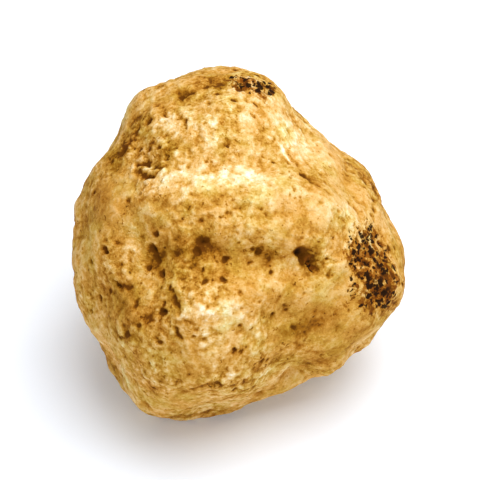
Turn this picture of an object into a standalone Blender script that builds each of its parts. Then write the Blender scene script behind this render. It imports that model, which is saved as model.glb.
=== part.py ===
"""A whole white truffle, lying on a table as it comes to rest.

A truffle grows as one piece, so it is one solid. Its skin is an icosphere whose points are moved out
to a radius worked out from round lobes that run into each other, then swellings and hollows, then a
slow unevenness. The solid is tipped back, cut flat where it rests, and centred on its box.

The shape is written in the truffle's own axes, in millimetres: +X to its right, +Y up to its crown
and +Z out of its face, all from the centre that it grew round. In the scene +Z is up, the face looks
up and forward along -Y, and the origin is on the table under the middle of the truffle's box.
"""

import math

import bmesh
import bpy
import numpy as np
from mathutils import Matrix

MM = 0.001

# Driving dimensions, in millimetres and degrees.
MEAN_RADIUS = 27.0  # across the skin, where the sizes of swellings and hollows are laid out
LOBE_BLEND = 1.5  # how softly one lobe runs into the next
UNEVEN_HEIGHT = 0.3  # of the slow unevenness of the skin
UNEVEN_LENGTH = 11.0  # from one crest of it to the next
UNEVEN_WAVES = 14
UNEVEN_SEED = 7
LEAN = 45.0  # of the crown, backwards, as the truffle rests
REST_LEVEL = -24.0  # of the table, against the centre of growth
SKIN_SUBDIVISIONS = 5  # of the icosphere, which gives edges of about 2 mm

# Round lobes, as the centre and the radius of each. Every lobe holds the centre of growth.
LOBES = {
    "heart": ((0, 0, -1), 20.5),
    "crown": ((-3, 14, -2), 17.5),
    "crown_left": ((-9.5, 10.5, -2), 15.0),
    "shoulder": ((9.5, 6.5, -4), 14.8),
    "haunch": ((12, -2, -3), 16.2),
    "left_cheek": ((-11, 0.5, 0), 15.6),
    "brow_left": ((-6.5, 4.5, 7), 12.4),
    "brow_right": ((6, 4, 7), 12.4),
    "chin": ((-6, -9.5, 5), 14.6),
    "foot": ((-8.0, -11.3, -5), 14.8),
    "heel": ((4, -8, -8), 14.0),
    "back_left": ((-8.5, 2, -9), 14.0),
    "back_right": ((8, 0, -11), 14.6),
    "back_top": ((-2, 11, -9), 15.0),
}

# Swellings (height over 0) and hollows (under 0). Each is a bell round a path of one or more points,
# which give only directions from the centre of growth: (path, half width, height).
RELIEF = {
    "chin_boss": ([(-4, -9, 21)], 6.0, 2.0),
    "right_boss": ([(14, 8, 15)], 5.0, 1.0),
    "crown_left_knob": ([(-16, 27, 2)], 3.6, 1.2),
    "crown_left_dip": ([(-9.5, 30, 0)], 3.2, -0.6),
    "crown_right_dip": ([(11.5, 26, 0)], 3.6, -1.3),
    "crown_top": ([(3, 31, 2)], 6.0, 0.9),
    "hip": ([(26, -4, 0)], 6.0, 0.8),
    "hip_dip": ([(21, -15.5, 0)], 4.2, -1.7),
    "flank_dip": ([(27, 6, 0)], 3.4, -0.9),
    "flank_knob": ([(24.5, 11, 0)], 3.4, 1.2),
    "jowl": ([(-25, -10, 0)], 6.0, 1.7),
    "cheek_left": ([(-26, 10, 0)], 6.0, 1.1),
    "sole_right": ([(4, -25, 0), (9.5, -24, 0)], 5.0, 1.5),
    "sole_left": ([(-14.5, -23.5, 0)], 5.2, 1.9),
    "sole_back": ([(-8, -25, -7), (3, -24, -7)], 6.0, 1.3),
    "foot_hollow": ([(-20.5, -19, 0)], 4.5, -1.6),
    "jaw_right": ([(16, -17.5, 0)], 4.6, 2.0),
    "shoulder_dip": ([(19, 16, 0)], 5.0, -1.1),
    "brow_furrow": ([(-15, 0, 17), (-2, 0.5, 21), (10, -1, 18)], 5.5, -1.8),
    "furrow_left": ([(-13, 1, 17)], 3.4, -0.9),
    "furrow_middle": ([(-6, 3, 20), (-3, 2.5, 21)], 3.2, -1.2),
    "furrow_right": ([(4, 1.5, 21), (10, 1, 18.5)], 3.0, -0.9),
    "rough_hollow": ([(-14.5, 17, 11)], 3.5, -1.1),
    "jaw_hollow": ([(9, -11, 16), (12, -8, 16)], 5.0, -0.9),
    "notch_left": ([(-20.5, 19, 0)], 3.8, -3.2),
    "notch_low": ([(10, -19.5, 2)], 3.0, -2.6),
    "sole_dip": ([(-4, -26, 0)], 5.0, -1.1),
    "back_cleft": ([(3, 20, -14), (1, 9, -22), (-3, -2, -22)], 3.2, -2.2),
    "back_dimple": ([(16, -8, -16)], 4.0, -1.5),
    "side_dimple": ([(-22, -2, -13)], 4.5, -1.2),
}

SKIN_COLOUR = (0.58, 0.37, 0.12)  # ochre, as linear red, green and blue
SKIN_ROUGHNESS = 0.75


def unit(vectors):
    """Each vector, made one long."""
    return vectors / np.linalg.norm(vectors, axis=-1, keepdims=True)


def lobed_radius(directions):
    """How far the skin of the joined lobes is along each direction.

    A ray from the centre of growth leaves a lobe at c.d + sqrt(R^2 - c.c + (c.d)^2). The furthest exit
    counts, and near it the others count too, by a logarithm of summed exponentials, which is what
    rounds the valleys.
    """
    exits = []
    for centre, radius in LOBES.values():
        centre = np.array(centre, float)
        along = directions @ centre
        exits.append(along + np.sqrt(radius**2 - centre @ centre + along**2))
    exits = np.array(exits)
    furthest = exits.max(axis=0)
    return furthest + LOBE_BLEND * np.log(np.exp((exits - furthest) / LOBE_BLEND).sum(axis=0))


def distance_to_path(directions, path):
    """How far each direction is from a path, in millimetres, laid out at the mean radius."""
    points = MEAN_RADIUS * directions
    corners = MEAN_RADIUS * unit(np.array(path, float))
    nearest = np.linalg.norm(points - corners[0], axis=-1)
    for start, end in zip(corners[:-1], corners[1:]):
        run = end - start
        share = np.clip((points - start) @ run / (run @ run), 0, 1)
        nearest = np.minimum(nearest, np.linalg.norm(points - start - share[:, None] * run, axis=-1))
    return nearest


def relief_height(directions):
    """The sum of the swellings and hollows: height times exp(-(distance to path / half width)^2)."""
    total = np.zeros(len(directions))
    for path, half_width, height in RELIEF.values():
        total += height * np.exp(-((distance_to_path(directions, path) / half_width) ** 2))
    return total


def uneven_height(directions):
    """A few sine waves across space in random directions, read on the mean sphere."""
    random = np.random.default_rng(UNEVEN_SEED)
    waves = unit(random.normal(size=(UNEVEN_WAVES, 3))) * 2 * math.pi * MEAN_RADIUS / UNEVEN_LENGTH
    phases = random.uniform(0, 2 * math.pi, UNEVEN_WAVES)
    strength = UNEVEN_HEIGHT / math.sqrt(UNEVEN_WAVES / 2)
    return strength * np.sin(directions @ waves.T + phases).sum(axis=1)


def skin_points(directions):
    """Where the skin is along each direction, in millimetres from the centre of growth."""
    radius = lobed_radius(directions) + relief_height(directions) + uneven_height(directions)
    return directions * radius[:, None]


def clear_scene():
    for thing in list(bpy.data.objects):
        bpy.data.objects.remove(thing)


def skin_material():
    material = bpy.data.materials.new("truffle_skin")
    material.use_nodes = True
    shader = material.node_tree.nodes["Principled BSDF"]
    shader.inputs["Base Color"].default_value = (*SKIN_COLOUR, 1)
    shader.inputs["Roughness"].default_value = SKIN_ROUGHNESS
    shader.inputs["Metallic"].default_value = 0
    return material


def shape_skin(solid):
    """Moves the points of a unit icosphere out to the skin, in metres."""
    solid.verts.ensure_lookup_table()
    directions = unit(np.array([tuple(vertex.co) for vertex in solid.verts]))
    for vertex, point in zip(solid.verts, skin_points(directions) * MM):
        vertex.co = point


def cut_resting_face(solid):
    """Cuts away what would be under the table, and closes the cut with a flat face."""
    everything = solid.verts[:] + solid.edges[:] + solid.faces[:]
    bmesh.ops.bisect_plane(
        solid,
        geom=everything,
        plane_co=(0, 0, REST_LEVEL * MM),
        plane_no=(0, 0, 1),
        clear_inner=True,
    )
    rim = [edge for edge in solid.edges if edge.is_boundary]
    bmesh.ops.holes_fill(solid, edges=rim, sides=0)


def stand_on_origin(solid):
    """Puts the middle of the box over the origin, and its underside at height 0."""
    points = np.array([tuple(vertex.co) for vertex in solid.verts])
    low, high = points.min(axis=0), points.max(axis=0)
    middle = (low + high) / 2
    bmesh.ops.translate(solid, verts=solid.verts, vec=(-middle[0], -middle[1], -low[2]))


def build_truffle():
    solid = bmesh.new()
    bmesh.ops.create_icosphere(solid, subdivisions=SKIN_SUBDIVISIONS, radius=1)
    shape_skin(solid)
    bmesh.ops.rotate(solid, verts=solid.verts, matrix=Matrix.Rotation(math.radians(LEAN), 3, "X"))
    cut_resting_face(solid)
    stand_on_origin(solid)
    mesh = bpy.data.meshes.new("truffle")
    solid.to_mesh(mesh)
    solid.free()
    mesh.shade_smooth()
    mesh.set_sharp_from_angle(angle=math.radians(50))
    mesh.materials.append(skin_material())
    truffle = bpy.data.objects.new("truffle", mesh)
    bpy.context.scene.collection.objects.link(truffle)


clear_scene()
build_truffle()
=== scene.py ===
"""A whole white truffle resting on a white table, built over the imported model's frame.

The truffle's own axes are +X to its right, +Y up to its crown and +Z out of its face, in millimetres
from the centre that it grew round. It rests with its crown leaning back, so that its face looks up
and forward. The skin is one closed surface: a radius for every direction from the centre of growth.
"""

import math

import bpy
import numpy as np
from bpy.props import FloatProperty, FloatVectorProperty, IntProperty, PointerProperty
from mathutils import Matrix, Vector


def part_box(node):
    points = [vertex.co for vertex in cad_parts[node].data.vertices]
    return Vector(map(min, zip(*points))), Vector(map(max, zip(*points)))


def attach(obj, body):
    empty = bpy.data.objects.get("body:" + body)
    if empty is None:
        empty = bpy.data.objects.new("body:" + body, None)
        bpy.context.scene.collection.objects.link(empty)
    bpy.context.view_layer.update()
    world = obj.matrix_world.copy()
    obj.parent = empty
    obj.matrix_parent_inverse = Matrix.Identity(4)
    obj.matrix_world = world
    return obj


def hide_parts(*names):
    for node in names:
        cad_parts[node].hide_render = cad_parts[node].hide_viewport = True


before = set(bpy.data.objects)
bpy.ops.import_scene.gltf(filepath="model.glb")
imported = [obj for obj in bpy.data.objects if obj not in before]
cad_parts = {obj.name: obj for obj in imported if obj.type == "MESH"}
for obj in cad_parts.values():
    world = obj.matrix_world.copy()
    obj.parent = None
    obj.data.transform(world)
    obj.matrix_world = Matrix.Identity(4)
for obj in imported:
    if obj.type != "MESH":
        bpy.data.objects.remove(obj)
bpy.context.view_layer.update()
TRUFFLE_BOX = np.array(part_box("truffle"))

bl_info = {
    "name": "White truffle",
    "version": (1, 0, 0),
    "blender": (4, 5, 0),
    "location": "3D View > Sidebar > Truffle",
    "description": "Grows a white truffle and sets it on a lit white table",
    "category": "Add Mesh",
}

MM = 0.001

# ---------------------------------------------------------------------------------------------------
# Form: lobes, swellings and hollows, in millimetres.

MEAN_RADIUS = 27.0
UNEVEN_WAVES = 14
UNEVEN_SEED = 7

# Round lobes that have grown into each other: the centre and the radius of each.
LOBES = {
    "heart": ((0, 0, -1), 20.5),
    "crown": ((-3, 14, -2), 17.5),
    "crown_left": ((-9.5, 10.5, -2), 15.0),
    "shoulder": ((9.5, 6.5, -4), 14.8),
    "haunch": ((12, -2, -3), 16.2),
    "left_cheek": ((-11, 0.5, 0), 15.6),
    "brow_left": ((-6.5, 4.5, 7), 12.4),
    "brow_right": ((6, 4, 7), 12.4),
    "chin": ((-6, -9.5, 5), 14.6),
    "foot": ((-8.0, -11.3, -5), 14.8),
    "heel": ((4, -8, -8), 14.0),
    "back_left": ((-8.5, 2, -9), 14.0),
    "back_right": ((8, 0, -11), 14.6),
    "back_top": ((-2, 11, -9), 15.0),
}

# Swellings and hollows: the directions of a path, the half width across it and the height.
RELIEF = {
    "chin_boss": ([(-4, -9, 21)], 6.0, 2.0),
    "right_boss": ([(14, 8, 15)], 5.0, 1.0),
    "crown_left_knob": ([(-16, 27, 2)], 3.6, 1.2),
    "crown_left_dip": ([(-9.5, 30, 0)], 3.2, -0.6),
    "crown_right_dip": ([(11.5, 26, 0)], 3.6, -1.3),
    "crown_top": ([(3, 31, 2)], 6.0, 0.9),
    "hip": ([(26, -4, 0)], 6.0, 0.8),
    "hip_dip": ([(21, -15.5, 0)], 4.2, -1.7),
    "flank_dip": ([(27, 6, 0)], 3.4, -0.9),
    "flank_knob": ([(24.5, 11, 0)], 3.4, 1.2),
    "jowl": ([(-25, -10, 0)], 6.0, 1.7),
    "cheek_left": ([(-26, 10, 0)], 6.0, 1.1),
    "sole_right": ([(4, -25, 0), (9.5, -24, 0)], 5.0, 1.5),
    "sole_left": ([(-14.5, -23.5, 0)], 5.2, 1.9),
    "sole_back": ([(-8, -25, -7), (3, -24, -7)], 6.0, 1.3),
    "foot_hollow": ([(-20.5, -19, 0)], 4.5, -1.6),
    "jaw_right": ([(16, -17.5, 0)], 4.6, 2.0),
    "shoulder_dip": ([(19, 16, 0)], 5.0, -1.1),
    "brow_furrow": ([(-15, 0, 17), (-2, 0.5, 21), (10, -1, 18)], 5.5, -1.8),
    "furrow_left": ([(-13, 1, 17)], 3.4, -0.9),
    "furrow_middle": ([(-6, 3, 20), (-3, 2.5, 21)], 3.2, -1.2),
    "furrow_right": ([(4, 1.5, 21), (10, 1, 18.5)], 3.0, -0.9),
    "rough_hollow": ([(-14.5, 17, 11)], 3.5, -1.1),
    "jaw_hollow": ([(9, -11, 16), (12, -8, 16)], 5.0, -0.9),
    "notch_left": ([(-20.5, 19, 0)], 3.8, -3.2),
    "notch_low": ([(10, -19.5, 2)], 3.0, -2.6),
    "sole_dip": ([(-4, -26, 0)], 5.0, -1.1),
    "back_cleft": ([(3, 20, -14), (1, 9, -22), (-3, -2, -22)], 3.2, -2.2),
    "back_dimple": ([(16, -8, -16)], 4.0, -1.5),
    "side_dimple": ([(-22, -2, -13)], 4.5, -1.2),
}

# Pits in the face, each where it is seen square on: x, y, half length, half width, turn from +X in
# degrees, depth, and how much soil has stayed in it, from 0 to 1.
FACE_PITS = [
    (11.7, 0.3, 2.3, 1.15, -48, 1.0, 0.25),
    (10.7, 1.3, 1.3, 0.9, -35, 0.9, 1.0),
    (12.8, -1.0, 1.0, 0.8, -70, 0.6, 0.3),
    (-21.3, 1.4, 0.65, 0.55, -30, 1.1, 1.0),
    (-23.6, -0.4, 0.55, 0.5, 0, 0.7, 0.8),
    (-19.4, -4.1, 0.75, 0.4, -15, 0.9, 1.0),
    (-22.1, -6.6, 0.7, 0.35, 85, 0.4, 0.7),
    (-23.8, -8.5, 0.5, 0.35, 0, 0.35, 0.6),
    (-20.6, -5.2, 0.5, 0.4, 0, 0.3, 0.5),
    (-13.0, 4.2, 0.6, 0.5, 20, 0.6, 0.8),
    (-13.4, 1.8, 0.75, 0.55, -30, 0.8, 0.85),
    (-12.7, 0.3, 0.9, 0.6, -70, 0.5, 0.6),
    (-14.1, -1.6, 0.6, 0.5, -60, 0.6, 0.8),
    (-11.9, -2.4, 0.7, 0.45, 85, 0.6, 0.85),
    (-10.4, -4.4, 0.5, 0.35, -20, 0.4, 0.75),
    (-12.0, -4.5, 0.35, 0.35, 0, 0.3, 0.6),
    (-16.0, -7.2, 0.9, 0.4, 80, 0.4, 0.5),
    (-11.8, -8.7, 0.85, 0.6, 20, 0.7, 0.85),
    (-11.6, -7.2, 0.5, 0.3, 90, 0.4, 0.7),
    (-15.6, -10.8, 0.5, 0.45, 0, 0.35, 0.6),
    (-12.2, -13.3, 0.9, 0.5, 10, 0.4, 0.5),
    (-6.7, -12.6, 0.5, 0.3, 0, 0.25, 0.5),
    (-18.0, -15.8, 0.4, 0.4, 0, 0.25, 0.35),
    (-14.0, -17.0, 0.4, 0.35, 0, 0.25, 0.35),
    (-12.4, -20.0, 0.4, 0.3, 0, 0.25, 0.45),
    (-0.2, -14.7, 0.55, 0.45, 0, 0.5, 0.8),
    (1.0, -14.9, 0.45, 0.35, 0, 0.35, 0.55),
    (4.5, -16.9, 0.55, 0.35, 35, 0.4, 0.65),
    (6.3, -9.0, 0.55, 0.35, -45, 0.45, 0.75),
    (8.1, -7.6, 0.7, 0.45, -60, 0.35, 0.45),
    (9.5, -11.2, 0.7, 0.45, -20, 0.3, 0.4),
    (12.3, -17.6, 0.6, 0.5, 0, 0.3, 0.4),
    (-5.2, 3.1, 0.85, 0.55, 15, 0.7, 0.8),
    (-6.2, 1.3, 0.7, 0.4, -35, 0.5, 0.7),
    (-1.6, 0.1, 0.65, 0.55, 0, 0.6, 0.75),
    (-3.1, -0.3, 0.3, 0.25, 0, 0.25, 0.5),
    (-5.2, -1.6, 0.4, 0.3, 90, 0.3, 0.5),
    (-4.9, -3.5, 0.65, 0.5, 75, 0.6, 0.8),
    (-3.6, -3.2, 0.3, 0.25, 0, 0.25, 0.6),
    (-1.8, -3.3, 0.7, 0.4, -25, 0.5, 0.85),
    (-2.2, 6.9, 0.35, 0.3, 0, 0.3, 0.6),
    (-1.2, 7.6, 0.4, 0.3, 0, 0.3, 0.5),
    (0.3, 4.5, 0.35, 0.3, 0, 0.3, 0.5),
    (0.0, -5.5, 0.3, 0.3, 0, 0.2, 0.5),
    (3.8, 1.4, 0.9, 0.55, 70, 0.6, 0.7),
    (2.8, 1.9, 0.4, 0.4, 0, 0.3, 0.5),
    (2.7, -0.7, 0.45, 0.35, 0, 0.3, 0.5),
    (5.9, -2.0, 0.45, 0.4, 0, 0.4, 0.75),
    (15.3, -2.5, 0.7, 0.35, 80, 0.3, 0.45),
    (4.3, 8.3, 0.45, 0.3, -45, 0.3, 0.5),
    (5.3, 7.3, 0.8, 0.45, -50, 0.3, 0.4),
    (9.6, 11.5, 0.5, 0.4, -30, 0.4, 0.7),
    (11.1, 13.9, 0.75, 0.5, -10, 0.5, 0.75),
    (8.7, 15.6, 0.4, 0.35, 0, 0.4, 0.7),
    (4.6, 17.0, 0.35, 0.3, 0, 0.25, 0.5),
    (6.2, 16.0, 0.45, 0.25, 10, 0.25, 0.5),
    (4.7, 20.0, 0.35, 0.3, 0, 0.25, 0.4),
    (5.7, 23.0, 0.4, 0.3, 0, 0.25, 0.4),
    (3.0, 23.6, 0.65, 0.4, -20, 0.4, 0.7),
    (0.4, 23.5, 0.3, 0.3, 0, 0.25, 0.5),
    (0.6, 20.8, 0.5, 0.35, -30, 0.25, 0.4),
    (7.2, 20.8, 0.5, 0.35, 50, 0.25, 0.35),
    (10.5, 19.6, 0.6, 0.35, -50, 0.25, 0.4),
    (-1.3, 19.0, 0.75, 0.4, 0, 0.5, 0.75),
    (-4.6, 15.8, 0.4, 0.35, 0, 0.3, 0.6),
    (-3.6, 16.0, 0.3, 0.25, 0, 0.25, 0.5),
    (-7.7, 15.0, 0.35, 0.3, 0, 0.3, 0.6),
    (-9.1, 14.7, 0.35, 0.35, 0, 0.35, 0.7),
    (-14.2, 13.4, 0.8, 0.4, 10, 0.8, 1.0),
    (-12.4, 18.4, 0.45, 0.4, 0, 0.35, 0.6),
    (-15.5, 18.2, 0.5, 0.4, 60, 0.35, 0.55),
    (-14.9, 17.0, 0.4, 0.35, 0, 0.3, 0.5),
    (-11.1, 16.8, 0.5, 0.35, 70, 0.3, 0.45),
    (-18.2, 17.8, 0.75, 0.6, 60, 0.6, 0.7),
    (-20.4, 16.4, 0.5, 0.4, 0, 0.3, 0.55),
    (-14.1, 22.8, 0.7, 0.5, 75, 0.9, 0.95),
    (-16.1, 21.2, 0.8, 0.45, 60, 0.4, 0.65),
    (-13.0, 25.3, 0.5, 0.4, 0, 0.3, 0.4),
    (-11.6, 24.1, 0.6, 0.35, -30, 0.3, 0.4),
    (-8.8, 26.9, 0.8, 0.6, -70, 0.8, 0.8),
    (-7.7, 27.3, 0.6, 0.35, 10, 0.4, 0.5),
    (-5.0, 28.3, 0.4, 0.4, 0, 0.25, 0.45),
    (-2.7, 27.1, 0.4, 0.35, 0, 0.25, 0.5),
    (-4.1, 25.8, 0.45, 0.3, 20, 0.25, 0.5),
    (0.7, 27.9, 0.55, 0.5, 0, 0.8, 1.0),
    (4.9, 28.6, 0.7, 0.45, 0, 0.6, 1.0),
    (6.0, 28.2, 0.6, 0.35, -30, 0.4, 0.8),
    (1.5, 29.3, 0.5, 0.3, -30, 0.3, 0.8),
    (3.6, 30.4, 0.5, 0.4, 0, 0.3, 0.8),
    (0.2, 31.4, 0.6, 0.4, -10, 0.3, 0.8),
    (-1.0, 30.0, 0.5, 0.5, 0, 0.25, 0.5),
    (0.0, 26.1, 0.7, 0.35, -10, 0.3, 0.75),
    (1.8, 25.8, 0.4, 0.3, 0, 0.25, 0.6),
    (3.3, 25.6, 0.8, 0.3, -5, 0.3, 0.7),
    (25.0, -5.0, 1.5, 0.9, 20, 0.3, 1.0),
    (21.3, -0.5, 0.6, 0.5, 0, 0.25, 1.0),
    (22.3, 0.7, 0.6, 0.45, 30, 0.25, 1.0),
    (20.5, -2.6, 0.55, 0.5, 0, 0.25, 0.95),
    (22.0, -2.9, 0.6, 0.5, -30, 0.25, 0.95),
    (24.0, 2.5, 0.6, 0.45, -40, 0.25, 0.95),
    (25.8, 1.8, 0.5, 0.4, 0, 0.25, 0.9),
    (24.3, -2.4, 0.7, 0.5, 0, 0.25, 1.0),
    (27.6, -4.2, 0.6, 0.4, 60, 0.25, 0.9),
    (18.5, 14.3, 0.4, 0.35, 0, 0.25, 0.4),
    (21.2, 11.8, 0.5, 0.35, 0, 0.25, 0.5),
    (23.0, 8.0, 0.6, 0.4, 60, 0.3, 0.5),
]

# Creases scratched or shrunk into the face: the points of a path seen square on, half width, depth
# and soil.
FACE_CREASES = [
    ([(-10.0, -4.9), (-9.7, -6.6), (-9.1, -8.6)], 0.4, 0.35, 0.6),
    ([(-18.8, -12.9), (-17.4, -12.3)], 0.4, 0.35, 0.7),
    ([(-9.6, -11.2), (-9.2, -12.1), (-8.5, -12.6)], 0.4, 0.45, 0.75),
    ([(-6.6, -21.2), (-5.0, -20.5), (-3.0, -20.2)], 0.4, 0.3, 0.4),
    ([(-3.0, -20.2), (0.4, -20.7), (3.1, -20.1)], 0.35, 0.3, 0.3),
    ([(-10.6, -20.6), (-8.8, -19.9)], 0.4, 0.25, 0.35),
    ([(9.9, 16.3), (10.8, 14.6), (12.8, 12.6), (15.4, 10.6)], 0.3, 0.18, 0.25),
    ([(-9.5, 23.8), (-8.3, 22.9), (-8.1, 20.8)], 0.4, 0.35, 0.5),
    ([(-6.9, 22.0), (-5.2, 19.4)], 0.4, 0.3, 0.2),
    ([(-16.0, 15.4), (-14.4, 15.5), (-11.7, 14.8)], 0.4, 0.4, 0.65),
    ([(-16.2, 14.6), (-15.2, 13.7), (-13.2, 13.5), (-12.2, 14.4)], 0.4, 0.4, 0.6),
    ([(-3.7, -6.6), (-2.0, -5.6), (-2.7, -4.5)], 0.4, 0.2, 0.3),
    ([(-9.6, -9.9), (-6.8, -10.1)], 0.35, 0.2, 0.35),
    ([(-17.0, -4.5), (-19.0, -4.2)], 0.5, 0.3, 0.5),
    ([(-9.6, 27.7), (-8.9, 26.8), (-7.2, 27.4)], 0.45, 0.4, 0.5),
]

# Patches of the face that are darker (tone under 0) or paler (over 0) than the rest, smoother
# (grain under 0) or rougher (over 0): x, y, half length, half width, turn, tone and grain. Their
# tone is partly stain and wear and partly painted light: painted shade where the face turns from
# the light, and painted highlights on crests that face it.
FACE_PATCHES_AND_PAINTED_LIGHT = [
    # Darker trough under the brow and round the big hole: partly stain, partly painted shade.
    (-13.0, 0.6, 2.8, 1.7, 80, -0.8, 0.2),
    (-5.2, 2.5, 3.2, 1.9, 0, -1.2, 0.1),
    (-9.0, -0.8, 10.0, 3.4, 0, -0.35, 0.1),
    (4.4, 1.3, 3.0, 2.0, 0, -1.1, 0.0),
    (11.7, 0.4, 3.0, 1.8, -40, -1.0, 0.0),
    (9.2, -3.8, 2.8, 1.2, -30, -0.5, -0.2),
    # Darker left side, turned from the light: painted shade.
    (-22.0, -3.0, 5.0, 8.0, 0, -0.1, 0.0),
    (-18.5, -9.0, 5.0, 6.0, 0, -0.3, 0.1),
    (-21.0, 9.0, 5.0, 7.0, 0, -0.6, -0.6),
    (-12.0, 9.0, 5.0, 3.0, 0, 0.1, -0.4),
    # Darker lower right, facing down: painted shade, with a real dark smudge in the first.
    (12.0, -10.5, 5.5, 3.6, 20, -1.0, -0.2),
    (15.0, -15.5, 4.5, 3.0, 30, -0.6, -0.3),
    (20.0, -13.5, 7.0, 2.6, 40, -0.35, -0.4),
    (-18.5, 18.0, 3.2, 2.0, 70, -0.6, 0.3),
    (-13.5, 16.6, 3.2, 2.7, 0, -0.35, 1.0),
    (-16.2, 23.0, 3.0, 2.0, 70, -0.3, 0.2),
    # Darker band just under the brow: painted shade.
    (-10.5, 9.6, 5.5, 1.5, 0, -0.35, 0.2),
    (-4.0, 9.4, 3.0, 1.2, 0, -0.35, 0.0),
    (-8.0, -24.0, 11.0, 2.6, -5, -0.25, -0.3),
    (3.0, 28.6, 3.9, 3.4, -10, 0.65, 0.6),
    # Paler brow, brow sides and right boss: partly pale rind, partly painted highlight.
    (-2.0, 13.0, 6.5, 2.6, 0, 1.25, 0.2),
    (-11.0, 13.4, 3.0, 1.2, 0, 0.5, 0.0),
    (7.0, 11.0, 4.0, 3.6, 0, 0.55, 0.0),
    (14.5, 8.3, 4.2, 2.4, -20, 0.6, -0.6),
    (18.6, 7.6, 2.0, 1.6, 0, 0.5, -0.3),
    # Paler chin, facing the light: partly pale rind, partly painted highlight.
    (-6.8, -7.4, 2.0, 2.0, 0, 0.45, 0.0),
    (-2.6, -8.0, 3.0, 2.5, 0, 0.85, 0.0),
    (-2.0, -5.2, 3.2, 1.6, 0, 0.4, 0.0),
    (1.0, -8.3, 1.5, 1.2, 0, 0.6, 0.0),
    (-2.6, -11.0, 3.2, 1.5, 0, 0.5, 0.0),
    (-1.4, -17.8, 2.0, 2.2, 0, 0.4, 0.0),
    # Paler crown: partly pale rind, partly painted highlight.
    (-3.0, 23.5, 7.0, 4.0, 0, 0.4, 0.4),
    (8.0, 20.5, 6.0, 4.5, -30, 0.7, 0.2),
    # Darker crown top, turned from the light: painted shade.
    (-4.0, 29.0, 3.5, 2.2, 10, -0.7, 0.2),
    # Paler crown left: partly pale rind, partly painted highlight.
    (-11.5, 21.5, 3.0, 3.0, 0, 0.7, 0.4),
    (-14.0, 26.6, 2.2, 1.0, 10, 0.4, 0.0),
    # Pale streaks and flecks: partly rubbed rind, partly painted glints.
    (8.6, 17.0, 2.4, 0.5, -57, 1.6, 0.0),
    (-8.0, 24.3, 2.6, 0.6, -35, 0.7, 0.0),
    (-14.3, 14.3, 0.7, 0.5, 0, 1.0, 0.0),
    (-14.6, 16.4, 0.5, 0.5, 0, 0.8, 0.0),
    (-9.7, 17.3, 0.6, 0.5, 0, 0.9, 0.0),
    (-9.4, 14.4, 1.6, 0.6, -10, 0.6, 0.0),
    (15.0, 1.3, 0.8, 0.6, 40, 0.8, 0.0),
    (15.0, -0.9, 0.8, 0.5, 60, 0.7, 0.0),
    (10.0, -1.4, 1.8, 0.8, -20, 0.4, 0.0),
    (-16.6, 3.2, 1.4, 1.0, 0, 0.4, 0.0),
    (18.0, 12.0, 6.0, 4.5, -60, 0.1, -0.3),
    (15.0, -8.0, 8.0, 6.0, 20, 0.0, -0.5),
    (-4.0, -8.5, 5.0, 5.0, 0, 0.0, 0.3),
    # Darker underside, lower left and the rims where the body meets the table: painted shade.
    (-3.0, -19.0, 9.0, 4.0, 0, -0.15, 0.3),
    (-14.0, -12.0, 4.0, 3.5, 0, -0.2, 0.1),
    (-7.0, -26.0, 12.0, 1.3, 0, -0.7, 0.0),
    (4.5, -23.5, 6.0, 1.2, 35, -0.7, 0.0),
    (-20.8, -17.5, 6.0, 1.2, -57, -0.6, 0.0),
]

# Scabs of dead rind: the points that each is grown round, seen square on, and its half width.
FACE_SCABS = [
    ([(1.4, 29.4), (4.6, 27.8)], 2.9),
    ([(21.8, 0.8), (23.8, -3.6)], 5.8),
    ([(12.7, -0.8)], 1.1),
]

# ---------------------------------------------------------------------------------------------------
# Fine skin, in millimetres.

# Random swells: size, height and seed.
SWELLS = {
    "lump": (6.5, 0.36, 11),
    "knot": (3.3, 0.24, 12),
    "pucker": (2.0, 0.19, 13),
    "grain": (1.1, 0.11, 14),
    "coarseness": (8.0, 0.6, 15),
    "crust": (0.8, 0.12, 17),
    "crack": (8.0, 1.0, 26),
    "cracked": (9.0, 1.0, 27),
    "slow_tone": (9.0, 0.35, 31),
    "quick_tone": (3.0, 0.35, 32),
}

# How far points are shaken, for ragged shapes: each noise's size and reach, and the first seed.
SHAKES = {
    "skin": ([(6.0, 1.3)], 61),
    "pits": ([(1.4, 0.35), (0.7, 0.2)], 71),
    "patches": ([(3.0, 0.9), (1.3, 0.5)], 81),
    "scabs": ([(2.6, 1.1), (1.1, 0.5)], 91),
    "back_pits": ([(1.4, 0.35)], 51),
}

# Holes at scattered points: spacing, seed, the share of points that have one, the radius of the
# smallest, how much wider the widest could be, and how steep the sides are.
HOLES = {
    "dimples": (4.4, 22, 0.4, 1.2, 0.0, 2),
    "pores": (2.2, 23, 0.55, 0.22, 0.5, 3),
    "back_pits": (4.2, 25, 0.4, 0.45, 0.9, 3),
}

# Grooves between plates of skin: the plates' spacing and seed, the grooves' width and depth.
PLATE_SPACING = 1.5
PLATE_SEED = 21
GROOVE_WIDTH = 0.3
GROOVE_DEPTH = 0.16

# A scab's crust stands up between crumbs: the crumbs' spacing, seed, radius and depth.
CRUST_HEIGHT = 0.15
CRUMB_SPACING = 1.0
CRUMB_SEED = 24
CRUMB_RADIUS = 0.36
CRUMB_DEPTH = 0.35

DIMPLE_DEPTH = 0.4
BACK_PIT_DEPTH = 0.6
CRACK_DEPTH = 0.35
CRACK_WIDTH = 0.035  # as a height of the crack swell, on both sides of where it crosses 0
CRACKED_RISE = 0.25  # the height of the cracked swell at which cracks are at their deepest
FACE_RIM = 4.0  # how far before and behind the face's rim the scattered damage comes in

# Where a scab's cover starts to fall and where it ends, in its half widths.
SCAB_EDGE = (0.45, 1.3)

# The lip round a cut: height as a share of the cut's depth, place and width in half widths.
PIT_LIP = (0.12, 1.7, 0.5)
CREASE_LIP = (0.2, 2.1, 0.8)

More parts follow.
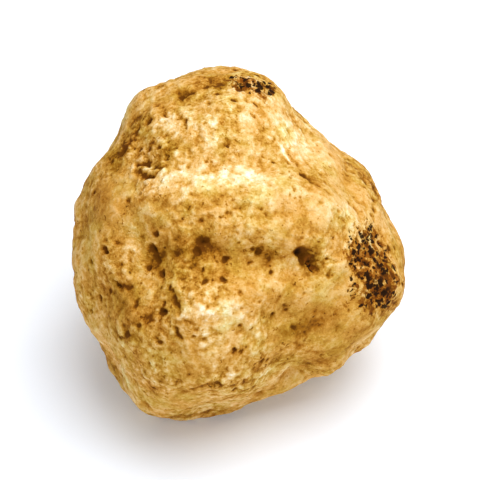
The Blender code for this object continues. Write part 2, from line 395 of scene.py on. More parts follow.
MEAN_COARSENESS = 0.45
SMOOTHEST_FINE = 0.5  # the share of the fine swells' height that the smoothest skin keeps
SMOOTHEST_MOTTLE = 0.3  # and the share of their tone

# How much of each layer goes into the tone.
TONE_OF_LUMPS = 0.7
TONE_OF_DIMPLES = -0.3
TONE_OF_FINE = 1.5
TONE_OF_GROOVES = -0.6

# How much soil stays in what the tables don't place.
SOIL_IN_PORES = 0.4
SOIL_IN_BACK_PITS = 0.7
SOIL_IN_CRACKS = 0.4


def unit(vectors):
    """Each vector, made one long."""
    vectors = np.asarray(vectors, float)
    return vectors / np.linalg.norm(vectors, axis=-1, keepdims=True)


def lobed_radius(directions, blend):
    """The distance at which a ray from the centre of growth leaves the joined lobes.

    It leaves one lobe at c.d + sqrt(R^2 - c.c + (c.d)^2). The exits are joined by a logarithm of
    summed exponentials, which is the furthest one with its valleys rounded.
    """
    exits = []
    for centre, radius in LOBES.values():
        centre = np.array(centre, float)
        along = directions @ centre
        exits.append(along + np.sqrt(radius**2 - centre @ centre + along**2))
    exits = np.array(exits)
    furthest = exits.max(axis=0)
    return furthest + blend * np.log(np.exp((exits - furthest) / blend).sum(axis=0))


def distance_to_path(points, corners):
    """How far each point is from a path through the corners: to the nearest of its straight runs."""
    nearest = np.linalg.norm(points - corners[0], axis=-1)
    for start, end in zip(corners[:-1], corners[1:]):
        run = end - start
        share = np.clip((points - start) @ run / (run @ run), 0, 1)
        nearest = np.minimum(nearest, np.linalg.norm(points - start - share[:, None] * run, axis=-1))
    return nearest


def relief_height(directions):
    """The sum of the swellings and hollows, each its height times exp(-(distance / half width)^2)."""
    total = np.zeros(len(directions))
    points = MEAN_RADIUS * directions
    for path, half_width, height in RELIEF.values():
        away = distance_to_path(points, MEAN_RADIUS * unit(path))
        total += height * np.exp(-((away / half_width) ** 2))
    return total


def uneven_height(directions, height, length):
    """A few sine waves across space in random directions, read on the mean sphere."""
    random = np.random.default_rng(UNEVEN_SEED)
    waves = unit(random.normal(size=(UNEVEN_WAVES, 3))) * 2 * math.pi * MEAN_RADIUS / length
    phases = random.uniform(0, 2 * math.pi, UNEVEN_WAVES)
    return height / math.sqrt(UNEVEN_WAVES / 2) * np.sin(directions @ waves.T + phases).sum(axis=1)


def body_radius(directions, form):
    """The radius of the truffle without its fine skin: lobes, then relief, then unevenness."""
    return (
        lobed_radius(directions, form.lobe_blend / MM)
        + relief_height(directions)
        + uneven_height(directions, form.uneven_height / MM, form.uneven_length / MM)
    )


# ---------------------------------------------------------------------------------------------------
# Irregular fields in space, on a lattice of random numbers that repeats after 48 cells.

LATTICE = 48
SLOPE_GAIN = 1.6  # brings the mixed slopes' heights to about -1 to 1
FAR = 9.0  # in cells, further than the nearest scattered point can be


def noise(points, size, seed):
    """Smooth random swells about size long, from about -1 to 1.

    Each corner of a lattice cell has a random slope. The slopes' heights at the point are mixed by
    the weights 6t^5 - 15t^4 + 10t^3 along each axis.
    """
    random = np.random.default_rng(seed)
    slopes = unit(random.normal(size=(LATTICE, LATTICE, LATTICE, 3)))
    place = points / size + random.uniform(0, LATTICE, 3)
    cell = np.floor(place).astype(int)
    inside = place - cell
    ease = inside**3 * (inside * (inside * 6 - 15) + 10)
    total = np.zeros(len(points))
    for corner in np.ndindex(2, 2, 2):
        corner = np.array(corner)
        slope = slopes[tuple(((cell + corner) % LATTICE).T)]
        weight = np.prod(np.where(corner == 1, ease, 1 - ease), axis=1)
        total += weight * ((inside - corner) * slope).sum(axis=1)
    return total * SLOPE_GAIN


def swell(points, name):
    """The height of one of the table's random swells."""
    size, height, seed = SWELLS[name]
    return height * noise(points, size, seed)


def shaken(points, name):
    """The points moved a little by noise, each noise along the three axes in turn."""
    shakes, seed = SHAKES[name]
    moved = points.copy()
    for number, (size, reach) in enumerate(shakes):
        for axis in range(3):
            moved[:, axis] += reach * noise(points, size, seed + 3 * number + axis)
    return moved


def scattered(points, spacing, seed):
    """The nearest and second nearest of points scattered one to a cell, as distances, and a random
    number from 0 to 1 that belongs to the nearest."""
    random = np.random.default_rng(seed)
    offsets = random.uniform(0, 1, (LATTICE, LATTICE, LATTICE, 3))
    marks = random.uniform(0, 1, (LATTICE, LATTICE, LATTICE))
    place = points / spacing + random.uniform(0, LATTICE, 3)
    cell = np.floor(place).astype(int)
    first = np.full(len(points), FAR)
    second = np.full(len(points), FAR)
    mark = np.zeros(len(points))
    for step in np.ndindex(3, 3, 3):
        near = cell + np.array(step) - 1
        index = tuple((near % LATTICE).T)
        away = np.linalg.norm(near + offsets[index] - place, axis=1)
        mark = np.where(away < first, marks[index], mark)
        second = np.minimum(second, np.maximum(first, away))
        first = np.minimum(first, away)
    return first * spacing, second * spacing, mark


def holes(points, name):
    """How deep each point is in one of the table's kinds of hole, 0 to 1: exp(-(distance / r)^n).

    A hole's radius r grows with its random mark, and points with a mark over the share have none.
    """
    spacing, seed, share, least, spread, steepness = HOLES[name]
    away, _, mark = scattered(points, spacing, seed)
    return (mark < share) * np.exp(-((away / (least + spread * mark)) ** steepness))


def smooth_step(values, low, high):
    """0 under low, 1 over high, and 3t^2 - 2t^3 between them."""
    share = np.clip((values - low) / (high - low), 0, 1)
    return share * share * (3 - 2 * share)


# ---------------------------------------------------------------------------------------------------
# What is placed on the face.

FACE_FLOOR = -8.0  # the levels between which the face is looked for
FACE_CEILING = 40.0
HALVINGS = 30


def face_points(places, form):
    """The points of the body straight behind places (x, y) of its face.

    The height z is halved in on, between two levels, by whether the point is inside the body.
    """
    places = np.array(places, float)
    inner = np.full(len(places), FACE_FLOOR)
    outer = np.full(len(places), FACE_CEILING)
    for _ in range(HALVINGS):
        middle = (inner + outer) / 2
        points = np.column_stack([places, middle])
        inside = np.linalg.norm(points, axis=1) < body_radius(unit(points), form)
        inner = np.where(inside, middle, inner)
        outer = np.where(inside, outer, middle)
    return np.column_stack([places, inner])


def oval_distance(points, centre, half_length, half_width, turn):
    """The distance to a centre in half widths, or in half lengths along the axis turned from +X."""
    axis = np.array([math.cos(math.radians(turn)), math.sin(math.radians(turn)), 0.0])
    apart = points - centre
    along = apart @ axis
    across = apart - along[:, None] * axis
    return np.sqrt((along / half_length) ** 2 + (across**2).sum(axis=1) / half_width**2)


def lip(away, shape):
    """The low lip round a cut: height * exp(-((distance - place) / width)^2)."""
    height, place, width = shape
    return height * np.exp(-(((away - place) / width) ** 2))


def face_relief(points, form):
    """The depth of the face's pits and creases, and the soil in them.

    A pit is depth * exp(-distance^3) and a crease depth * exp(-distance^2), less its lip.
    """
    ragged = shaken(points, "pits")
    depth = np.zeros(len(points))
    soil = np.zeros(len(points))
    centres = face_points([pit[:2] for pit in FACE_PITS], form)
    for centre, (_, _, half_length, half_width, turn, deep, dirt) in zip(centres, FACE_PITS):
        away = oval_distance(ragged, centre, half_length, half_width, turn)
        cut = np.exp(-(away**3))
        depth += deep * (cut - lip(away, PIT_LIP))
        soil = np.maximum(soil, dirt * cut)
    for path, half_width, deep, dirt in FACE_CREASES:
        away = distance_to_path(ragged, face_points(path, form)) / half_width
        cut = np.exp(-(away**2))
        depth += deep * (cut - lip(away, CREASE_LIP))
        soil = np.maximum(soil, dirt * cut)
    return depth, soil


def face_patches_and_painted_light(points, form):
    """The tone, partly painted shade and painted highlight, and the grain that the face's patches add,
    each its share times exp(-distance^2).
    """
    ragged = shaken(points, "patches")
    tone = np.zeros(len(points))
    grain = np.zeros(len(points))
    centres = face_points([patch[:2] for patch in FACE_PATCHES_AND_PAINTED_LIGHT], form)
    for centre, (_, _, half_length, half_width, turn, shade, rough) in zip(centres, FACE_PATCHES_AND_PAINTED_LIGHT):
        share = np.exp(-(oval_distance(ragged, centre, half_length, half_width, turn) ** 2))
        tone += shade * share
        grain += rough * share
    return tone, grain


def scab_cover(points, form):
    """How far each point is inside a scab, 0 to 1, falling off slowly over its ragged edge."""
    ragged = shaken(points, "scabs")
    cover = np.zeros(len(points))
    for places, half_width in FACE_SCABS:
        away = distance_to_path(ragged, face_points(places, form)) / half_width
        cover = np.maximum(cover, 1 - smooth_step(away, *SCAB_EDGE))
    return cover


# ---------------------------------------------------------------------------------------------------
# The skin.


def back_damage(points, bent):
    """Scattered pits and fine cracks, 0 to 1, all over except on the face, where tables place them.

    A crack runs where a slow swell crosses 0: exp(-(height / width)^2).
    """
    off_face = smooth_step(-points[:, 2], -FACE_RIM, FACE_RIM)
    pits = holes(shaken(points, "back_pits"), "back_pits")
    cracks = np.exp(-((swell(bent, "crack") / CRACK_WIDTH) ** 2))
    cracks *= smooth_step(swell(points, "cracked"), 0.0, CRACKED_RISE)
    return off_face * pits, off_face * cracks


def scab_crust(points, scab):
    """The height of the scabs' crust, broken by round gaps where it has crumbled away."""
    crumbs, _, _ = scattered(points, CRUMB_SPACING, CRUMB_SEED)
    gaps = CRUMB_DEPTH * np.exp(-((crumbs / CRUMB_RADIUS) ** 2))
    return scab * (CRUST_HEIGHT - gaps + swell(points, "crust"))


def skin_layers(points, form):
    """The fine skin on the body's points: its height, and the masks that its colour goes by."""
    bent = shaken(points, "skin")
    lumps = swell(bent, "lump") + swell(bent, "knot")
    fine = swell(bent, "pucker") + swell(points, "grain")
    patch_tone_and_painted_light, patch_grain = face_patches_and_painted_light(points, form)
    rough = np.clip(MEAN_COARSENESS + swell(points, "coarseness") + patch_grain, 0, 1)
    first, second, _ = scattered(bent, PLATE_SPACING, PLATE_SEED)
    groove = rough * np.exp(-(((second - first) / GROOVE_WIDTH) ** 2))
    dimple = holes(bent, "dimples")
    pore = holes(points, "pores")
    pit, crack = back_damage(points, bent)
    depth, soil = face_relief(points, form)
    scab = scab_cover(points, form)

    height = lumps + (SMOOTHEST_FINE + rough) * fine - GROOVE_DEPTH * groove - DIMPLE_DEPTH * dimple
    height -= form.pore_depth / MM * pore + depth + BACK_PIT_DEPTH * pit + CRACK_DEPTH * crack
    height += scab_crust(points, scab)

    # The tone carries the face patches' painted shade and painted highlights besides random tone.
    tone = swell(bent, "slow_tone") + patch_tone_and_painted_light
    tone += TONE_OF_LUMPS * lumps + TONE_OF_DIMPLES * dimple + TONE_OF_GROOVES * groove
    tone += (SMOOTHEST_MOTTLE + rough) * (swell(bent, "quick_tone") + TONE_OF_FINE * fine)

    for share, hole in ((SOIL_IN_PORES, pore), (SOIL_IN_BACK_PITS, pit), (SOIL_IN_CRACKS, crack)):
        soil = np.maximum(soil, share * hole)
    return height, {"tone": tone, "soil": np.clip(soil, 0, 1), "scab": scab, "rough": rough}


LEAST_FALL = 0.05  # of a ray, for it to meet the table at all
NEVER = 1000.0  # a distance past anything


def rest_radius(directions, form):
    """The distance at which a ray from the centre of growth meets the table, or a very long one."""
    fall = -(directions @ np.array([0, math.cos(form.lean), math.sin(form.lean)]))
    return np.where(fall > LEAST_FALL, form.rest_level / MM / np.maximum(fall, LEAST_FALL), NEVER)


def grow_skin(directions, form):
    """The finished skin along each direction, and its masks.

    Where the body would pass through the table its radius is held to the table's, joined by
    -k log(exp(-a / k) + exp(-b / k)), so that it rolls under before it lies flat.
    """
    radius = body_radius(directions, form)
    height, masks = skin_layers(directions * radius[:, None], form)
    radius = radius + height
    table = rest_radius(directions, form)
    roll = form.rest_roll / MM
    least = np.minimum(radius, table)
    spread = np.exp((least - radius) / roll) + np.exp((least - table) / roll)
    radius = least - roll * np.log(spread)
    return directions * radius[:, None], masks


# ---------------------------------------------------------------------------------------------------
# The mesh.

SEAM_DECIMALS = 7  # to which points on two sides' shared rim agree


def cube_side(side, u, v):
    """Directions through one side of a cube. The side's angles u and v give tan u and tan v across
    it, and the axes take turns, so that (1, tan u, tan v) becomes the side's own vector."""
    axis, way = side
    across = [None, None, None]
    across[axis] = np.full(u.shape, float(way))
    across[(axis + 1) % 3] = np.tan(u) * way
    across[(axis + 2) % 3] = np.tan(v)
    return unit(np.stack(across, axis=-1))


def cube_sphere(count):
    """Directions over the whole sphere, count squares along each side of a cube, and the squares.

    The six sides share their rims: points that fall together are kept once.
    """
    angles = np.linspace(-math.pi / 4, math.pi / 4, count + 1)
    u, v = np.meshgrid(angles, angles, indexing="ij")
    corner = np.arange((count + 1) ** 2).reshape(count + 1, count + 1)
    square = np.stack([corner[:-1, :-1], corner[1:, :-1], corner[1:, 1:], corner[:-1, 1:]], axis=-1)
    square = square.reshape(-1, 4)
    directions = []
    squares = []
    for number, side in enumerate([(axis, way) for axis in range(3) for way in (1, -1)]):
        directions.append(cube_side(side, u, v).reshape(-1, 3))
        squares.append(square + number * (count + 1) ** 2)
    directions = np.concatenate(directions)
    squares = np.concatenate(squares)
    rounded = np.round(directions, SEAM_DECIMALS)
    _, first, same = np.unique(rounded, axis=0, return_index=True, return_inverse=True)
    return directions[first], same.reshape(-1)[squares]


def stand(points, form):
    """Turns the truffle back by its lean and puts it on the table, in metres.

    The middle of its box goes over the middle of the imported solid's box.
    """
    lean = np.array(Matrix.Rotation(form.lean, 3, "X"))
    placed = (points @ lean.T) * MM
    middle = (placed.min(axis=0) + placed.max(axis=0)) / 2
    placed[:, :2] += (TRUFFLE_BOX.mean(axis=0) - middle)[:2]
    placed[:, 2] += form.rest_level
    return placed


def new_piece(name, points, faces, masks):
    """A smooth-shaded mesh object, with each mask as a number on every vertex."""
    mesh = bpy.data.meshes.new(name)
    mesh.from_pydata(points, [], faces)
    for mask, values in masks.items():
        layer = mesh.attributes.new(mask, "FLOAT", "POINT")
        layer.data.foreach_set("value", values.astype(np.float32))
    mesh.shade_smooth()
    mesh.update()
    piece = bpy.data.objects.new(name, mesh)
    bpy.context.scene.collection.objects.link(piece)
    return piece


# ---------------------------------------------------------------------------------------------------
# Materials.

WHITE = (1, 1, 1, 1)

# The rind's patterns: the size of each noise in millimetres, its detail and its roughness. The nap
# of the real rind is finer, and is drawn as coarse as it needs to show.
RIND_PATTERNS = {
    "puckers": (1.5, 3.0, 0.55),
    "grit": (0.7, 3.0, 0.7),
    "nap": (0.28, 1.0, 0.55),
    "hue": (4.5, 2.0, 0.55),
    "flakes": (1.3, 4.0, 0.7),
}

# What bumps the rind: the pattern and its height in millimetres, less than half of its size.
RIND_BUMPS = {"nap": 0.12, "grit": 0.3, "puckers": 0.6}
BUMP_STRENGTH = 0.7

# How much of each pattern goes into the rind's mottling, the mottling's middle, and how much of it
# the smoothest rind keeps.
MOTTLE_SHARES = {"puckers": 1.4, "grit": 1.3}
MIDDLE_MOTTLE = 1.35
SMOOTHEST_RIND_MOTTLE = 0.45

# How much of each thing goes into the rind's tone, and the tone of plain rind.
# The skin's tone carries the face's painted shade and painted highlights.
TONE_SHARES = {"skin": 0.37, "mottle": 0.85, "soil": -0.95, "grains": -0.3, "crust": -0.4, "nap": 0.16}
PLAIN_TONE = 0.44

# The tones at which the rind's colours stand, from soiled to rubbed pale; ivory, at the top, is
# partly a painted highlight on the brightest crests.
RIND_TONES = {"brown": 0.0, "tan": 0.2, "ochre": 0.42, "straw": 0.64, "cream": 0.86, "ivory": 1.0}

# The values of each pattern or mask at which its colour starts to show and is full, and how much a
# scab adds to the flakes that make crust.
OLIVE_ENDS = (0.5, 0.66)
ROSE_ENDS = (0.5, 0.36)
SOIL_ENDS = (0.6, 0.95)
CRUST_ENDS = (0.62, 0.76)
FLAKES_IN_SCAB = 0.22

# How much of the colour under it each thing hides when it is full.
CRUST_HIDES = 0.5
SOIL_HIDES = 0.92
BLACK_HIDES = 0.95

# The tones between which the rind loses its roughness, and the roughness at each.
WORN_TONES = (0.2, 0.9)
WORN_ROUGHNESS = (0.85, 0.58)

# Grains of soil and dead rind: spacing, the size of the noise that bends them and its reach, in mm.
GRAIN_SPACING = 1.0
GRAIN_WANDER = 0.8
GRAIN_REACH = 1.7

# Distances from a grain's middle, in spacings, at which it starts and is full, and how much further
# out they are in a scab. Every grain has a lot from 0 to 1, raised in a scab: it shows from the first
# of these ranges up, and turns from rusty to black over the second.
GRAIN_RIM = (0.26, 0.12)
GROWTH_IN_SCAB = 0.32
LOT_IN_SCAB = 0.95
SHOWN_LOTS = (0.7, 0.74)
BLACK_LOTS = (0.9, 1.15)


def linear(code):
    """A colour written as sRGB hex, as linear red, green and blue."""
    channels = [int(code[place : place + 2], 16) / 255 for place in (1, 3, 5)]
    return [c / 12.92 if c <= 0.04045 else ((c + 0.055) / 1.055) ** 2.4 for c in channels]


def add(tree, kind, inputs, **settings):
    """Adds a node. Settings are its properties. Inputs are its sockets, by name or by number, each
    with its value or with the output that feeds it."""
    node = tree.nodes.new(kind)
    for name, value in settings.items():
        setattr(node, name, value)
    for name, value in inputs.items():
        if isinstance(value, bpy.types.NodeSocket):
            tree.links.new(value, node.inputs[name])
        else:
            node.inputs[name].default_value = value
    return node


def soil_grains(tree, place, scab):
    """Grains scattered over the rind, as two masks: all of them, and the black ones.

    Few grains have a lot high enough to show on clean rind, but in a scab all of them do, and they
    are broader there and mostly black.
    """
    wander = add(tree, "ShaderNodeTexNoise", {"Vector": place, "Scale": 1 / (GRAIN_WANDER * MM)})
    terms = {0: wander.outputs["Color"], 1: (GRAIN_REACH * MM,) * 3, 2: place}
    bent = add(tree, "ShaderNodeVectorMath", terms, operation="MULTIPLY_ADD").outputs["Vector"]
    cells = add(tree, "ShaderNodeTexVoronoi", {"Vector": bent, "Scale": 1 / (GRAIN_SPACING * MM)})
    lot = add(tree, "ShaderNodeSeparateColor", {"Color": cells.outputs["Color"]}).outputs["Red"]
    raised = []
    for base, share in ((lot, LOT_IN_SCAB), (cells.outputs["Distance"], -GROWTH_IN_SCAB)):
        terms = {0: scab, 1: share, 2: base}
        raised.append(add(tree, "ShaderNodeMath", terms, operation="MULTIPLY_ADD").outputs[0])
    lot, away = raised
    masks = []
    for value, (start, full) in ((away, GRAIN_RIM), (lot, SHOWN_LOTS), (lot, BLACK_LOTS)):
        ends = {"Value": value, "From Min": start, "From Max": full}
        masks.append(add(tree, "ShaderNodeMapRange", ends).outputs[0])
    near, shown, dead = masks
    grains = add(tree, "ShaderNodeMath", {0: near, 1: shown}, operation="MULTIPLY").outputs[0]
    black = add(tree, "ShaderNodeMath", {0: grains, 1: dead}, operation="MULTIPLY").outputs[0]
    return grains, black


def rind_tone(tree, mark):
    """The tone of the rind, from 0, stained dark, to 1, rubbed pale: the skin's own, which carries the
    face's painted shade and painted highlights, mottled, and lowered by soil, grains and crust. Smooth
    rind is less mottled than rough."""
    mottle = -MIDDLE_MOTTLE
    for name, share in MOTTLE_SHARES.items():
        terms = {0: mark[name], 1: share, 2: mottle}
        mottle = add(tree, "ShaderNodeMath", terms, operation="MULTIPLY_ADD").outputs[0]
    ends = {"Value": mark["rough"], "To Min": SMOOTHEST_RIND_MOTTLE}
    strength = add(tree, "ShaderNodeMapRange", ends).outputs[0]
    mottle = add(tree, "ShaderNodeMath", {0: mottle, 1: strength}, operation="MULTIPLY").outputs[0]
    sources = {**mark, "skin": mark["tone"], "mottle": mottle}
    tone = PLAIN_TONE
    for name, share in TONE_SHARES.items():
        terms = {0: sources[name], 1: share, 2: tone}
        tone = add(tree, "ShaderNodeMath", terms, operation="MULTIPLY_ADD").outputs[0]
    return tone


def rind_colour(tree, skin, mark, tone):
    """The colour of the rind: the skin's colour of its tone, tinted olive where the soil was wet and
    rose where the rind dried, with rusty crust and then black soil and grains laid over it."""
    ramp = add(tree, "ShaderNodeValToRGB", {"Fac": tone})
    elements = ramp.color_ramp.elements
    while len(elements) < len(RIND_TONES):
        elements.new(0.5)
    for element, (name, position) in zip(elements, RIND_TONES.items()):
        element.position = position
        element.color = (*getattr(skin, name), 1)
    colour = ramp.outputs["Color"]
    for blend, name, (start, full), most, over in (
        ("MULTIPLY", "hue", OLIVE_ENDS, 1, skin.olive),
        ("MULTIPLY", "hue", ROSE_ENDS, 1, skin.rose),
        ("MIX", "crust", (0, 1), CRUST_HIDES, skin.rust),
        ("MIX", "soil", SOIL_ENDS, SOIL_HIDES, skin.char),
        ("MIX", "black", (0, 1), BLACK_HIDES, skin.char),
    ):
        ends = {"Value": mark[name], "From Min": start, "From Max": full, "To Max": most}
        share = add(tree, "ShaderNodeMapRange", ends).outputs[0]
        layers = {0: share, 6: colour, 7: (*over, 1)}
        colour = add(tree, "ShaderNodeMix", layers, data_type="RGBA", blend_type=blend).outputs[2]
    return colour


def truffle_rind(skin):
    """Truffle rind: dry, matt and suede-like, grown and then brushed clean of soil.

    It is straw and cream where the brush has rubbed the crests, ochre to brown in the hollows, and
    its scabs are rusty with black grains. Painted shade and painted highlights from the face's
    patches are laid into its tone, and its palest ivory partly stands in for shine on the brightest
    crests; the nap itself leaves next to no shine.
    """
    material = bpy.data.materials.new("truffle_rind")
    material.use_nodes = True
    tree = material.node_tree
    tree.nodes.clear()
    place = add(tree, "ShaderNodeTexCoord", {}).outputs["Object"]
    mark = {}
    for name in ("tone", "soil", "scab", "rough"):
        mark[name] = add(tree, "ShaderNodeAttribute", {}, attribute_name=name).outputs["Fac"]
    for name, (size, detail, roughness) in RIND_PATTERNS.items():
        values = {"Vector": place, "Scale": 1 / (size * MM), "Detail": detail, "Roughness": roughness}
        mark[name] = add(tree, "ShaderNodeTexNoise", values).outputs["Fac"]
    terms = {0: mark["scab"], 1: FLAKES_IN_SCAB, 2: mark["flakes"]}
    flakes = add(tree, "ShaderNodeMath", terms, operation="MULTIPLY_ADD").outputs[0]
    ends = {"Value": flakes, "From Min": CRUST_ENDS[0], "From Max": CRUST_ENDS[1]}
    mark["crust"] = add(tree, "ShaderNodeMapRange", ends).outputs[0]
    mark["grains"], mark["black"] = soil_grains(tree, place, mark["scab"])
    tone = rind_tone(tree, mark)

    normal = {}
    for name, height in RIND_BUMPS.items():
        values = {"Strength": BUMP_STRENGTH, "Distance": height * MM, "Height": mark[name], **normal}
        normal = {"Normal": add(tree, "ShaderNodeBump", values).outputs["Normal"]}
    ends = {
        "Value": tone,
        "From Min": WORN_TONES[0],
        "From Max": WORN_TONES[1],
        "To Min": WORN_ROUGHNESS[0],
        "To Max": WORN_ROUGHNESS[1],
    }
    values = {
        "Base Color": rind_colour(tree, skin, mark, tone),
        "Roughness": add(tree, "ShaderNodeMapRange", ends).outputs[0],
        "IOR": 1.45,
        "Specular IOR Level": 0.08,
        **normal,
    }
    shader = add(tree, "ShaderNodeBsdfPrincipled", values)
    add(tree, "ShaderNodeOutputMaterial", {"Surface": shader.outputs["BSDF"]})
    return material


def white_laminate(stage):
    """White laminate, pressed smooth and matt, with no shine, and lit a little from within."""
    material = bpy.data.materials.new("white_laminate")
    material.use_nodes = True
    tree = material.node_tree
    tree.nodes.clear()
    values = {
        "Base Color": (*stage.table_colour, 1),
        "Roughness": 0.9,
        "Specular IOR Level": 0.0,
        "Emission Color": WHITE,
        "Emission Strength": stage.table_glow,
    }
    shader = add(tree, "ShaderNodeBsdfPrincipled", values)
    add(tree, "ShaderNodeOutputMaterial", {"Surface": shader.outputs["BSDF"]})
    return material


# ---------------------------------------------------------------------------------------------------
# What a user would change.


class TruffleForm(bpy.types.PropertyGroup):
    """The sizes of the truffle"""

    grid: IntProperty(
        name="Grid",
        description="Squares along each side of the cube that the skin is laid out from",
        default=128,
        min=8,
        max=129,
    )
    lobe_blend: FloatProperty(
        name="Lobe blend",
        description="Softness of the valleys between lobes",
        default=1.5 * MM,
        unit="LENGTH",
    )
    uneven_height: FloatProperty(
        name="Unevenness",
        description="Height of the slow unevenness",
        default=0.3 * MM,
        unit="LENGTH",
    )
    uneven_length: FloatProperty(
        name="Unevenness length",
        description="From one crest of the slow unevenness to the next",
        default=11.0 * MM,
        unit="LENGTH",
    )
    pore_depth: FloatProperty(
        name="Pore depth",
        description="Depth of the pores",
        default=0.3 * MM,
        unit="LENGTH",
    )
    lean: FloatProperty(
        name="Lean",
        description="How far back the crown leans",
        default=math.radians(45),
        subtype="ANGLE",
    )
    rest_level: FloatProperty(
        name="Rest level",
        description="Height of the centre of growth over the table",
        default=24.0 * MM,
        unit="LENGTH",
    )
    rest_roll: FloatProperty(
        name="Rest roll",
        description="Softness of the rim of the resting spot",
        default=0.35 * MM,
        unit="LENGTH",
    )


class TruffleSkin(bpy.types.PropertyGroup):
    """The colours of the rind"""

    # Ivory is partly worn rind and partly a painted highlight on the brightest crests.
    ivory: FloatVectorProperty(
        name="Ivory", description="The palest crests", subtype="COLOR", size=3, default=linear("#fff3dc")
    )
    cream: FloatVectorProperty(
        name="Cream", description="Rind worn pale", subtype="COLOR", size=3, default=linear("#f0ddb2")
    )
    straw: FloatVectorProperty(
        name="Straw", description="Rind that is rubbed", subtype="COLOR", size=3, default=linear("#e2bc7a")
    )
    ochre: FloatVectorProperty(
        name="Ochre", description="The bare rind", subtype="COLOR", size=3, default=linear("#c9963f")
    )
    tan: FloatVectorProperty(
        name="Tan", description="Soil-stained rind", subtype="COLOR", size=3, default=linear("#9f6716")
    )
    brown: FloatVectorProperty(
        name="Brown", description="Soil in holes", subtype="COLOR", size=3, default=linear("#653805")
    )
    olive: FloatVectorProperty(
        name="Olive", description="Tint of damp rind", subtype="COLOR", size=3, default=linear("#f5fadf")
    )
    rose: FloatVectorProperty(
        name="Rose", description="Tint of dried rind", subtype="COLOR", size=3, default=linear("#fff8f2")
    )
    rust: FloatVectorProperty(
        name="Rust", description="Dry scab", subtype="COLOR", size=3, default=linear("#8a4a0e")
    )
    char: FloatVectorProperty(
        name="Char", description="Dead, dark scab", subtype="COLOR", size=3, default=linear("#1e0f03")
    )


class TableStage(bpy.types.PropertyGroup):
    """The table, the lights and the camera"""

    table_colour: FloatVectorProperty(
        name="Table", description="The table top", subtype="COLOR", size=3, default=linear("#eff5fe")
    )
    table_glow: FloatProperty(
        name="Table glow", description="How strongly the table is lit from within", default=0.06
    )
    key_power: FloatProperty(
        name="Key light", description="Power of the soft box overhead", default=4.6, unit="POWER"
    )
    fill_power: FloatProperty(
        name="Fill light", description="Power of the soft box in front", default=1.4, unit="POWER"
    )
    ambient: FloatProperty(
        name="Ambient", description="Strength of the white light from all round", default=0.44
    )
    look_down: FloatProperty(
        name="Look down",
        description="Angle at which the camera looks down",
        default=math.radians(45),
        subtype="ANGLE",
    )
    field: FloatProperty(
        name="Field", description="Width that the camera sees", default=80.0 * MM, unit="LENGTH"
    )
    distance: FloatProperty(
        name="Distance", description="From the camera to the truffle", default=600.0 * MM, unit="LENGTH"
    )


# ---------------------------------------------------------------------------------------------------
# The stage, in metres.

TABLE_HALF = 3.0
KEY_PLACE = (0.16, 0.05, 0.6)
KEY_SIZE = 0.6
FILL_PLACE = (0.0, -0.7, 0.3)
FILL_SIZE = 0.5
NEAREST_SEEN = 0.01
FURTHEST_SEEN = 10.0
AIM_PAST_MIDDLE = Vector((0.15, 0.0, 1.05)) * MM  # the camera looks a little over and right of it


def lay_table(stage):
    """A square table top at the height on which the truffle rests, far wider than the view."""
    corners = [(x * TABLE_HALF, y * TABLE_HALF, 0) for x, y in ((-1, -1), (1, -1), (1, 1), (-1, 1))]
    table = new_piece("table", corners, [(0, 1, 2, 3)], {})
    table.data.materials.append(white_laminate(stage))


def hang_light(name, place, size, power):
    """A square soft box facing the truffle."""
    lamp = bpy.data.lights.new(name, "AREA")
    lamp.shape = "SQUARE"
    lamp.size = size
    lamp.energy = power
    light = bpy.data.objects.new(name, lamp)
    light.location = place
    light.rotation_euler = (-Vector(place)).to_track_quat("-Z", "Y").to_euler()
    bpy.context.scene.collection.objects.link(light)


def light_stage(scene, stage):
    """A soft box overhead and to the right, a weaker one low in front, and white all round."""
    hang_light("key", KEY_PLACE, KEY_SIZE, stage.key_power)
    hang_light("fill", FILL_PLACE, FILL_SIZE, stage.fill_power)
    world = bpy.data.worlds.new("studio")
    world.use_nodes = True
    background = world.node_tree.nodes["Background"]
    background.inputs["Color"].default_value = WHITE
    background.inputs["Strength"].default_value = stage.ambient
    scene.world = world
    scene.view_settings.view_transform = "Standard"


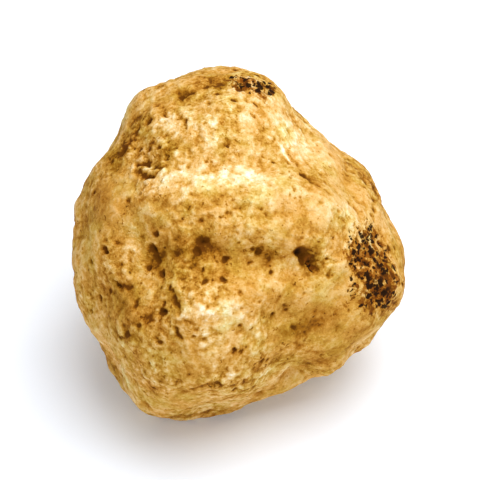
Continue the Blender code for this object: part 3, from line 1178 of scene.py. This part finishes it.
def aim_camera(scene, stage):
    """A camera that looks down on the truffle's face from the front."""
    back = Vector((0, -math.cos(stage.look_down), math.sin(stage.look_down)))
    target = Vector(TRUFFLE_BOX.mean(axis=0)) + AIM_PAST_MIDDLE
    data = bpy.data.cameras.new("camera")
    data.lens = data.sensor_width * stage.distance / stage.field
    data.clip_start = NEAREST_SEEN
    data.clip_end = FURTHEST_SEEN
    camera = bpy.data.objects.new("camera", data)
    camera.location = target + back * stage.distance
    camera.rotation_euler = (-back).to_track_quat("-Z", "Y").to_euler()
    scene.collection.objects.link(camera)
    scene.camera = camera


# ---------------------------------------------------------------------------------------------------
# The add-on.


class TRUFFLE_OT_grow(bpy.types.Operator):
    """Grow the truffle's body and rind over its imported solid"""

    bl_idname = "truffle.grow"
    bl_label = "Grow truffle"

    def execute(self, context):
        form = context.scene.truffle_form
        directions, squares = cube_sphere(form.grid)
        points, masks = grow_skin(directions, form)
        piece = new_piece("truffle_body", stand(points, form), squares, masks)
        piece.data.materials.append(truffle_rind(context.scene.truffle_skin))
        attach(piece, "root")
        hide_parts("truffle")
        return {"FINISHED"}


class TRUFFLE_OT_stage(bpy.types.Operator):
    """Set the table, the lights and the camera"""

    bl_idname = "truffle.stage"
    bl_label = "Set table"

    def execute(self, context):
        scene = context.scene
        lay_table(scene.truffle_stage)
        light_stage(scene, scene.truffle_stage)
        aim_camera(scene, scene.truffle_stage)
        return {"FINISHED"}


SETTINGS = {"truffle_form": TruffleForm, "truffle_skin": TruffleSkin, "truffle_stage": TableStage}


class TRUFFLE_PT_panel(bpy.types.Panel):
    """The settings and the operators, in the sidebar"""

    bl_idname = "TRUFFLE_PT_panel"
    bl_label = "White truffle"
    bl_space_type = "VIEW_3D"
    bl_region_type = "UI"
    bl_category = "Truffle"

    def draw(self, context):
        for attribute, group in SETTINGS.items():
            box = self.layout.box()
            for name in group.__annotations__:
                box.prop(getattr(context.scene, attribute), name)
        self.layout.operator("truffle.grow")
        self.layout.operator("truffle.stage")


CLASSES = (*SETTINGS.values(), TRUFFLE_OT_grow, TRUFFLE_OT_stage, TRUFFLE_PT_panel)


def register():
    for each in CLASSES:
        bpy.utils.register_class(each)
    for attribute, group in SETTINGS.items():
        setattr(bpy.types.Scene, attribute, PointerProperty(type=group))


def unregister():
    for attribute in SETTINGS:
        delattr(bpy.types.Scene, attribute)
    for each in reversed(CLASSES):
        bpy.utils.unregister_class(each)


def main():
    register()
    bpy.ops.truffle.grow()
    bpy.ops.truffle.stage()


if __name__ == "__main__":
    main()
